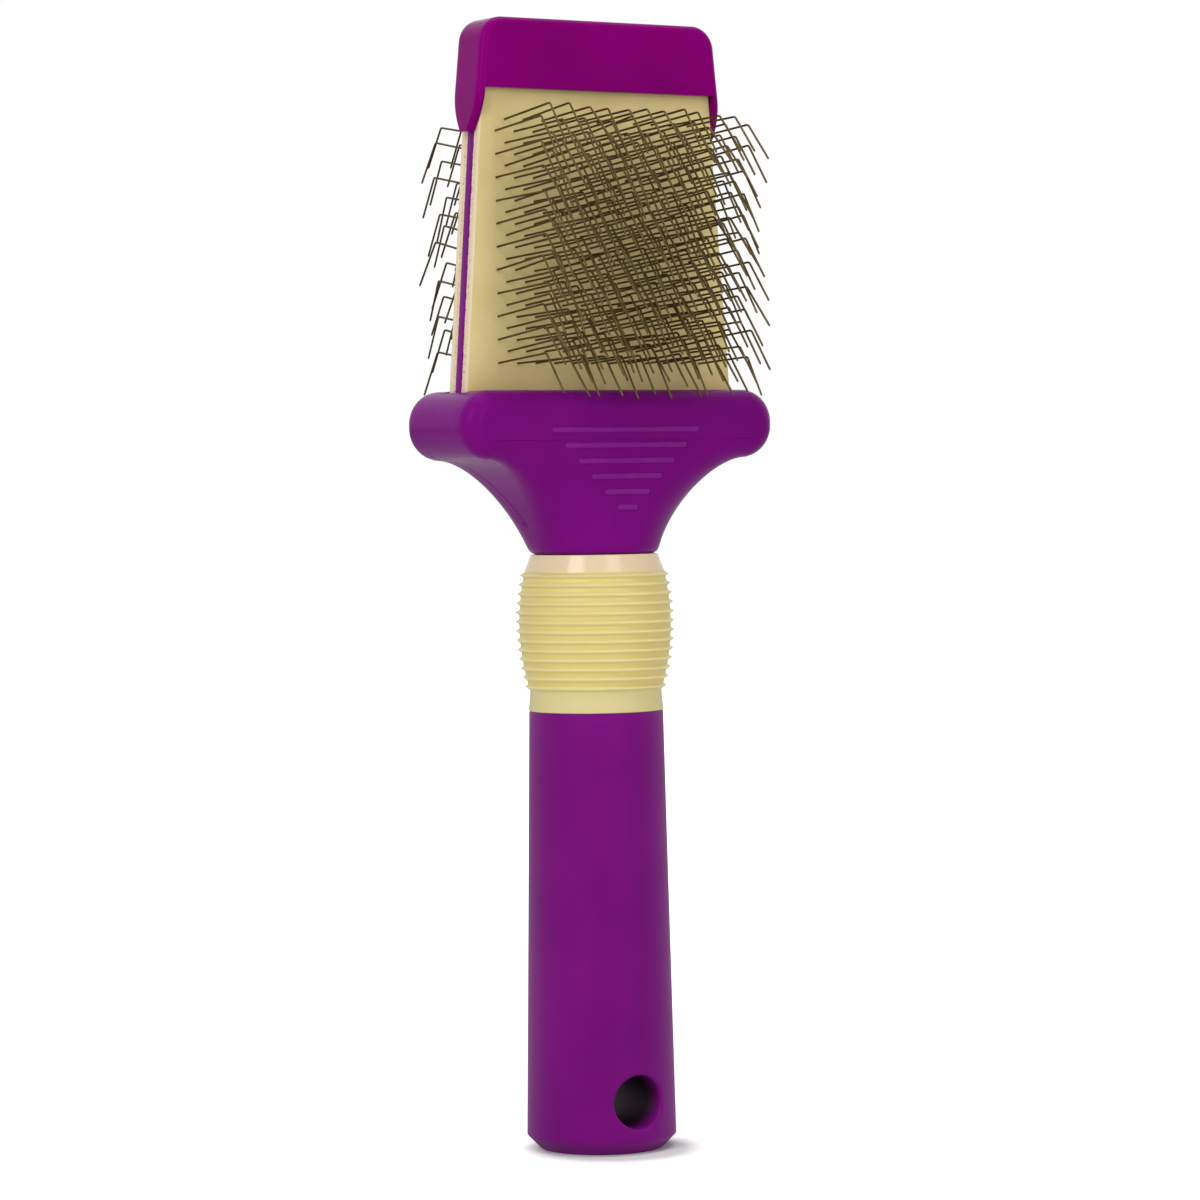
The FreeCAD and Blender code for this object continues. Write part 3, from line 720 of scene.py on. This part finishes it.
def face_fill(shell, ring):
    """Closes the area inside a T or cap outline with level rows of points. Its top row
    is the outline's own straight top."""
    columns = (len(ring) + 1) // 2
    right, left = ring[:columns], ring[::-1][:columns]
    shares = np.linspace(0, 1, 2 * TOP_STEPS - 1)[:, None, None]
    sides = columns - (TOP_STEPS - 1)
    shell.grid((right * (1 - shares) + left * shares)[:, :sides])


def rounded_wall(outline, normal, rounding, depth, flats, round_rows):
    """Rows of points from the parting plane out to the face: straight out from the
    outline, then a quarter circle in over the edge. Each flat row is a distance out and
    a distance in from the outline."""
    rows = [(outline + normal * np.reshape(inset, (-1, 1)), out) for out, inset in flats]
    for bend in np.radians(np.linspace(0, 90, round_rows))[1:]:
        inset = outline + normal * (rounding * (1 - math.cos(bend)))[:, None]
        rows.append((inset, depth - rounding + rounding * math.sin(bend)))
    return np.stack([np.stack([p[:, 0], -y, p[:, 1]], -1) for p, y in rows])


def seam_rows(outline, rounding, depth, groove):
    """The flat rows of a yoke half's wall, with the fine groove of the seam between the
    halves. It runs along the flare's upper part, a little ahead of the edge rounding."""
    flat = depth - rounding
    seam = np.maximum(flat - SEAM_INSET, 0.0)
    share = (outline[:, 1] - NECK) / FLARE_HEIGHT
    shown = np.clip((share - SEAM_START) / SEAM_FADE, 0, 1)
    shown = shown * (np.arange(len(outline)) < SEAM_COLUMNS)
    none = np.zeros(len(outline))
    return [
        (none, none),
        (0.5 * np.maximum(seam - SEAM_HALF_WIDTH, 0.0), none),
        (np.maximum(seam - SEAM_HALF_WIDTH, 0.0), none),
        (seam, groove * shown),
        (np.minimum(seam + SEAM_HALF_WIDTH, flat), none),
        (flat, none),
    ]


def yoke_half(name, finish, back):
    """One half of the yoke. Its wall follows the T-shaped outline, its rounding shrinks
    from a full circle at the neck to the bar's edge, and a flat face closes the front."""
    if back:
        outline, rounding, depth = yoke_outline(BACK_EDGE_ROUND, BACK_ROUND_POWER)
    else:
        outline, rounding, depth = yoke_outline(FRONT_EDGE_ROUND, FRONT_ROUND_POWER)
    normal = inward(outline)
    share = np.clip((outline[:, 1] - NECK) / (NECK_LEVEL_SHARE * FLARE_HEIGHT), 0, 1)
    level = np.array([-1.0, 0.0])
    blend = (share * share * (3 - 2 * share))[:, None]
    normal = level * (1 - blend) + normal * blend
    normal /= np.linalg.norm(normal, axis=1, keepdims=True)
    normal[-TOP_STEPS:] = (0.0, -1.0)
    flats = seam_rows(outline, rounding, depth, SEAM_DEPTH if back else 0.0)
    wall = rounded_wall(outline, normal, rounding, depth, flats, 14)
    wall[:, :, 0] = np.maximum(wall[:, :, 0], 0.0)
    mirrored = wall[:, ::-1] * (-1, 1, 1)
    whole = np.concatenate([wall, mirrored[:, 1:]], axis=1)
    shell = Shell().grid(whole)
    face_fill(shell, whole[0])
    face_fill(shell, whole[-1])
    shares = np.linspace(0, 1, 2 * TOP_STEPS - 1)[:, None, None]
    shell.grid(whole[:, 0] * (1 - shares) + whole[:, -1] * shares)
    item = shell.piece(name, finish)
    if back:
        item.data.transform(Matrix.Rotation(math.pi, 4, "Z"))
    mouth_right = HEAD_RIGHT + MOUTH_GAP
    mouth_half = STACK_HALF + MOUTH_GAP
    mouth_heights = (BAR_TOP - MOUTH_DEPTH, BAR_TOP + MOUTH_DEPTH)
    cut(item, block("mouth", (mouth_right, mouth_half), mouth_heights))
    slot_half = (HEAD_RIGHT + 0.05 * MM, PLATE_HALF + 0.05 * MM)
    cut(item, block("slot", slot_half, (PLATE_FOOT, BAR_TOP)))
    return item


def block(name, half, heights):
    """A plain box about the axis, used only to cut with."""
    x, y = half
    ring = np.array([(x, -y), (x, y), (-x, y), (-x, -y)])
    levels = [np.column_stack([ring, np.full(4, z)]) for z in heights]
    shell = Shell().grid(np.stack(levels), closed=True)
    return shell.lid(levels[0]).lid(levels[1]).piece(name, None)


def yoke_ribs(finish):
    """Raised bars on the yoke's face, each a capsule outline with a domed edge: the
    outline shrinks by 1 - cos and rises by sin of the same angle."""
    shell = Shell()
    for k in range(RIB_COUNT):
        half = (RIB_LONGEST - k * RIB_STEP) / 2 - RIB_RADIUS
        height = BAR_TOP - RIB_DROP - k * RIB_PITCH
        right = arc((half, height), 1.0, -90, 90, 13) - (half, height)
        left = arc((-half, height), 1.0, 90, 270, 13) - (-half, height)
        aim = np.concatenate([right, left])
        ends = [np.tile((x, height), (13, 1)) for x in (half, -half)]
        centre = np.concatenate(ends)
        rows = [np.column_stack([(centre + aim * RIB_RADIUS), np.full(26, -RIB_RISE)])]
        for bend in np.radians(np.linspace(0, 90, 7)):
            flat = centre + aim * RIB_RADIUS * (RIB_CREST + (1 - RIB_CREST) * math.cos(bend))
            rows.append(np.column_stack([flat, np.full(26, RIB_RISE * math.sin(bend))]))
        points = np.stack(rows)
        points = np.stack([points[..., 0], -(YOKE_BACK + points[..., 2]), points[..., 1]], -1)
        shell.grid(points, closed=True).lid(points[0]).lid(points[-1])
    return shell.piece("yoke_ribs", finish)


def head_half_width(height):
    """The stack is straight up to the bar's top and narrows evenly above it."""
    return HEAD_RIGHT - HEAD_TAPER * np.maximum(height - BAR_TOP, 0.0)


def slab(name, finish, depths, foot, corner, roughness=0.0, inset=0.0):
    """A sheet between two depths: rings with rounded corners, stacked up the head. Its
    cut sides may be roughened by seeded noise."""
    lower, upper = np.linspace(foot, BAR_TOP, 6), np.linspace(BAR_TOP, HEAD_TOP, 150)
    heights = np.concatenate([lower, upper[1:]])
    ends = [arc((0.0, 0.0), corner, a, a + 90, 4) for a in (-90, 0, 90, 180)]
    middle, half = (depths[0] + depths[1]) / 2, (depths[1] - depths[0]) / 2 - corner
    rings = []
    for height in heights:
        width = head_half_width(height) - inset - corner
        centres = [(width, -half), (width, half), (-width, half), (-width, -half)]
        ring = []
        for quarter, (x, y) in zip(ends, centres):
            ring.append(quarter + (x, y + middle))
        across = np.linspace(1, -1, 14)[1:-1, None]
        front = np.concatenate([across * -width, np.full_like(across, middle - half - corner)], 1)
        back = np.concatenate([across * width, np.full_like(across, middle + half + corner)], 1)
        ring = np.concatenate([front, ring[0], ring[1], back, ring[2], ring[3]])
        rings.append(np.column_stack([ring, np.full(len(ring), height)]))
    points = np.stack(rings)
    if roughness:
        jitter = seeded.normal(0.0, roughness, points.shape[:2])
        jitter = np.clip(jitter, -2 * roughness, roughness) * np.sign(points[..., 0])
        side = head_half_width(points[..., 2]) - inset - corner * 1.01
        points[..., 0] += np.where(np.abs(points[..., 0]) > side, jitter, 0.0)
    shell = Shell().grid(points, closed=True)
    return shell.lid(points[0]).lid(points[-1]).piece(name, finish)


def pin_roots(layout):
    """The pins' roots across and up the pad."""
    roots = []
    for row in range(layout["rows"]):
        odd = row % 2
        count = layout["short"] if odd else layout["long"]
        across = (np.arange(count) - (count - 1) / 2) * layout["pitch"]
        across += layout["shift"] * (1 - 2 * odd)
        height = BAR_TOP + layout["first_row"] + row * layout["row_pitch"]
        roots.append(np.column_stack([across, np.full(count, height)]))
    return np.concatenate(roots)


def unit(vectors):
    """Vectors scaled to a length of one."""
    return vectors / np.linalg.norm(vectors, axis=-1, keepdims=True)


def heading(side, slope):
    """Unit directions out of the front, turned to a side and sloped up by angles."""
    return unit(np.stack([np.sin(side), -np.cos(side), np.tan(slope)], -1))


def pin_paths(layout):
    """The centre lines of one side's pins, as pins by points. Each is a line from inside
    the pad, a short arc and a second line. Its direction, length and bend vary a little,
    as on a hand-loaded pad, but no tip reaches much past the CAD's."""
    roots = pin_roots(layout)
    count = len(roots)
    vary = seeded.normal(0.0, 1.0, (count, 6)).clip(-2.0, 2.0)
    yaw = PIN_YAW_SPREAD * vary[:, 0]
    rise = np.arctan2(layout["knee_rise"], layout["knee_out"]) + PIN_RISE_SPREAD * vary[:, 1]
    drop = np.arctan2(-layout["tip_drop"], layout["tip_out"]) + PIN_DROP_SPREAD * vary[:, 2]
    swing = yaw + PIN_SWING_SPREAD * vary[:, 3]
    start = 0.6 * STACK_HALF
    knee_run = np.hypot(layout["knee_out"], layout["knee_rise"]) + STACK_HALF - start
    knee_run = knee_run + PIN_KNEE_SPREAD * vary[:, 4]
    tip_run = np.hypot(layout["tip_out"], layout["tip_drop"]) + PIN_TIP_SPREAD * vary[:, 5]
    first = heading(yaw, rise)
    second = heading(swing, drop)
    root = np.column_stack([roots[:, 0], np.full(count, -start), roots[:, 1]])
    knee = root + first * knee_run[:, None]
    tip = knee + second * tip_run[:, None]
    spare = np.minimum(1.0, (PIN_REACH + PIN_SPARE) / np.abs(tip[:, 1]))
    knee[:, 1] *= spare
    tip[:, 1] *= spare
    before = knee - first * PIN_BEND
    after = knee + second * PIN_BEND
    path = [root, before]
    for share in (0.33, 0.67):
        weights = ((1 - share) ** 2, 2 * share * (1 - share), share ** 2)
        path.append(before * weights[0] + knee * weights[1] + after * weights[2])
    path += [after, tip - second * PIN_RADIUS, tip]
    return np.stack(path, 1)


def pin_field(name, finish, side):
    """One side's bent pins, each a six-sided tube about its centre line with a slightly
    narrower tip."""
    path = pin_paths(PINS[side])
    run = unit(np.gradient(path, axis=1))
    aside = unit(np.cross(run, np.array([0.0, 0.0, 1.0])))
    lift = np.cross(aside, run)
    width = np.full(path.shape[1], PIN_RADIUS)
    width[-1] = PIN_RADIUS * 0.55
    turn = (2 * np.pi * np.arange(6) / 6)[:, None]
    ring = aside[:, :, None] * np.cos(turn) + lift[:, :, None] * np.sin(turn)
    points = path[:, :, None] + ring * width[None, :, None, None]
    if side == "back":
        points = points * (-1, -1, 1)
    shell = Shell()
    for pin in points:
        shell.grid(pin, closed=True).lid(pin[0]).lid(pin[-1])
    return shell.piece(name, finish, 60.0)


def cap_outline():
    """The cap's outline in X and Z: up the right side, round its corner, along the top
    to the middle."""
    lean = HEAD_TAPER * (CAP_TOP - TAB_FOOT)
    foot = np.array([CAP_RIGHT, TAB_FOOT])
    top = np.array([CAP_RIGHT - lean, CAP_TOP])
    tilt = math.degrees(math.atan(HEAD_TAPER))
    centre = (top[0] - CAP_CORNER * (1 + HEAD_TAPER * 0.5), CAP_TOP - CAP_CORNER)
    corner = arc(centre, CAP_CORNER, tilt, 90, 18)
    side = line(foot, corner[0], 70)[:-1]
    return np.concatenate([side, corner, line(corner[-1], (0.0, CAP_TOP), TOP_STEPS)[1:]])


def end_cap(finish):
    """The cap as a loaf with rounded edges whose lower part curves in to the tabs, less
    the bay that the stack fills and the opening between the tabs."""
    outline = cap_outline()
    normal = inward(outline)
    normal[-TOP_STEPS:] = (0.0, -1.0)
    front_foot = CAP_TOP - CAP_HEIGHT
    below = np.clip((front_foot - outline[:, 1]) / (front_foot - TAB_FOOT), 0, 1)
    depth = CAP_HALF + (TAB_HALF - CAP_HALF) * below ** TAB_BOW
    rounding = CAP_EDGE_ROUND * (1 - TAB_THINNER_EDGE * below)
    flats = [(share * (depth - rounding), 0.0) for share in np.linspace(0, 1, 5)]
    wall = rounded_wall(outline, normal, rounding, depth, flats, 9)
    front = np.concatenate([wall, (wall[:, ::-1] * (-1, 1, 1))[:, 1:]], axis=1)
    front[:, [0, -1], 2] = TAB_FOOT
    back = front * (1, -1, 1)
    shell = Shell().grid(front).grid(back)
    face_fill(shell, front[-1])
    face_fill(shell, back[-1])
    shares = np.linspace(0, 1, 2 * TOP_STEPS - 1)[:, None, None]
    right_foot = np.concatenate([front[::-1, 0], back[1:, 0]])
    left_foot = np.concatenate([front[::-1, -1], back[1:, -1]])
    shell.grid(right_foot * (1 - shares) + left_foot * shares)
    item = shell.piece("cap_shell", finish)
    roof = CAP_TOP - CAP_ROOF
    cut(item, wedge("bay", STACK_HALF + CAP_FIT, TAB_FOOT - CAP_WALL, roof))
    cut(item, wedge("opening", 2 * CAP_HALF, TAB_FOOT - CAP_WALL, front_foot))
    return item


def wedge(name, half, foot, top):
    """The stack's own tapering outline as a block of a given half depth, to cut with."""
    levels = []
    for height in (foot, top):
        x = HEAD_RIGHT + CAP_FIT - HEAD_TAPER * (height - BAR_TOP)
        ring = [(x, -half), (x, half), (-x, half), (-x, -half)]
        levels.append(np.column_stack([ring, np.full(4, height)]))
    shell = Shell().grid(np.stack(levels), closed=True)
    return shell.lid(levels[0]).lid(levels[1]).piece(name, None)


# The finishes, and the pieces with what they ride on.
YOKE_TONES = rgb(112, 10, 114), rgb(121, 13, 123)
HANDLE_TONES = rgb(108, 13, 110), rgb(118, 16, 119)
CAP_TONES = rgb(122, 0, 102), rgb(132, 1, 112)
# The ribs use the yoke's plastic in lighter tones, a painted highlight on the raised bars.
RIB_PAINTED_HIGHLIGHT_TONES = rgb(124, 26, 128), rgb(132, 32, 136)
SHEET_TONES = rgb(112, 12, 112), rgb(122, 14, 122)
moulded = purple_plastic("purple_yoke", YOKE_TONES, 0.2, 0.1)
ribs_painted_highlight = purple_plastic("purple_ribs_painted_highlight", RIB_PAINTED_HIGHLIGHT_TONES, 0.2, 0.2)
turned_plastic = purple_plastic("purple_handle", HANDLE_TONES, 0.36, 0.2, hole=True)
cap_plastic = purple_plastic("purple_cap", CAP_TONES, 0.12, 0.06)
sheet_plastic = purple_plastic("purple_sheet", SHEET_TONES, 0.4, 0.2)
grip = cream_grip()
rubber = cream_rubber()
cloth = pad_cloth()
steel = pin_steel()


def seat(item, body, node):
    """An item that rides on one body in place of a CAD node."""
    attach(item, body)
    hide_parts(node)


def flex(item, node):
    """An item that runs from the yoke to the cap in place of a CAD node. Its placement is put
    into its mesh, and it rides on no body.
    """
    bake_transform(item)
    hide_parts(node)


seat(handle_tube(turned_plastic), "handle", "handle_tube")
seat(grip_sleeve(grip), "handle", "grip_sleeve")
yoke_front = yoke_half("yoke_shell_front", moulded, False)
yoke_back = yoke_half("yoke_shell_back", moulded, True)
seat(yoke_front, "handle", "yoke_front")
seat(yoke_ribs(ribs_painted_highlight), "handle", "yoke_front")
seat(yoke_back, "handle", "yoke_back")

core = slab("core_sheet", sheet_plastic, (-PLATE_HALF, PLATE_HALF), PLATE_FOOT, 0.2 * MM)
flex(core, "flex_plate")
for side_name, sign in (("front", -1), ("back", 1)):
    depths = sorted((sign * PLATE_HALF, sign * CLOTH_OUTER))
    base = slab(f"{side_name}_cloth", cloth, depths, PAD_FOOT, 0.12 * MM, 0.05 * MM, 0.1 * MM)
    flex(base, f"{side_name}_wires")
    depths = sorted((sign * CLOTH_OUTER, sign * STACK_HALF))
    face = slab(f"{side_name}_face", rubber, depths, PAD_FOOT, 0.16 * MM)
    flex(face, f"{side_name}_pad")
    pins = pin_field(f"{side_name}_pins", steel, side_name)
    flex(pins, f"{side_name}_wires")
seat(bevelled(end_cap(cap_plastic), 0.18 * MM), "head", "head_cap")


def stage_floor():
    """A pale floor that looks white to the camera and keeps the object's shadow. The
    white falls off under the foot, where the floor meets the object, as a painted contact
    shadow shifted a little to the front, and grows far out, where the lamps no longer reach."""
    mesh = bpy.data.meshes.new("floor")
    reach = 6.0
    corners = [(reach * x, reach * y, 0.0) for x, y in ((-1, -1), (1, -1), (1, 1), (-1, 1))]
    mesh.from_pydata(corners, [], [(0, 1, 2, 3)])
    item = bpy.data.objects.new("floor", mesh)
    bpy.context.scene.collection.objects.link(item)
    finish = Finish("floor", Roughness=0.9, Specular_IOR_Level=0.0)
    finish.shader.inputs["Base Color"].default_value = FLOOR_GREY
    away = (finish.x ** 2.0 + finish.y ** 2.0) ** 0.5
    painted_shadow_reach = (finish.x ** 2.0 + (finish.y + SHADOW_SHIFT) ** 2.0) ** 0.5
    # Painted contact shadow: the floor's white is left out under the foot and a little in front
    # of it.
    near = FLOOR_LIFT * painted_shadow_reach.over(FOOT_RADIUS - 1.0 * MM, FOOT_RADIUS + 4.0 * MM)
    lift = near + (1.0 - FLOOR_LIFT) * away.over(0.12, 0.5)
    seen = finish.ray("Is Camera Ray")
    glow = finish.node("ShaderNodeEmission", {}, {"Color": WHITE, "Strength": seen * lift})
    surface = Signal(finish, finish.shader.outputs[0])
    total = finish.node("ShaderNodeAddShader", {}, [surface, glow])
    finish.links.new(total.socket, finish.nodes["Material Output"].inputs["Surface"])
    mesh.materials.append(finish.material)


def surroundings():
    """White to the camera and to glossy and transmitted rays, softer as a light."""
    world = bpy.data.worlds.new("studio")
    bpy.context.scene.world = world
    world.use_nodes = True
    world.node_tree.nodes.clear()
    tree = Tree(world.node_tree, "Generated")
    seen = tree.ray("Is Camera Ray")
    for kind in ("Is Glossy Ray", "Is Transmission Ray"):
        seen = seen.math("MAXIMUM", tree.ray(kind))
    strength = WORLD_LIGHT + (1.0 - WORLD_LIGHT) * seen
    background = tree.node("ShaderNodeBackground", {}, {"Color": WHITE, "Strength": strength})
    output = tree.nodes.new("ShaderNodeOutputWorld")
    tree.links.new(background.socket, output.inputs["Surface"])


def lamp(name, place, size, power):
    """A rectangular soft box aimed at the middle of the object."""
    data = bpy.data.lights.new(name, "AREA")
    data.shape = "RECTANGLE"
    data.size, data.size_y = size
    data.energy = power
    item = bpy.data.objects.new(name, data)
    item.location = place
    aim = Vector((0.0, 0.0, 0.11)) - Vector(place)
    item.rotation_euler = aim.to_track_quat("-Z", "Y").to_euler()
    bpy.context.scene.collection.objects.link(item)


stage_floor()
surroundings()
lamp("key", (-1.09, -0.51, 0.75), (0.6, 0.9), 7.5)
lamp("fill", (0.09, -1.2, 0.5), (0.5, 0.9), 3.5)
lamp("top", (0.1, -0.1, 1.2), (0.9, 0.9), 5.0)

bpy.context.view_layer.update()
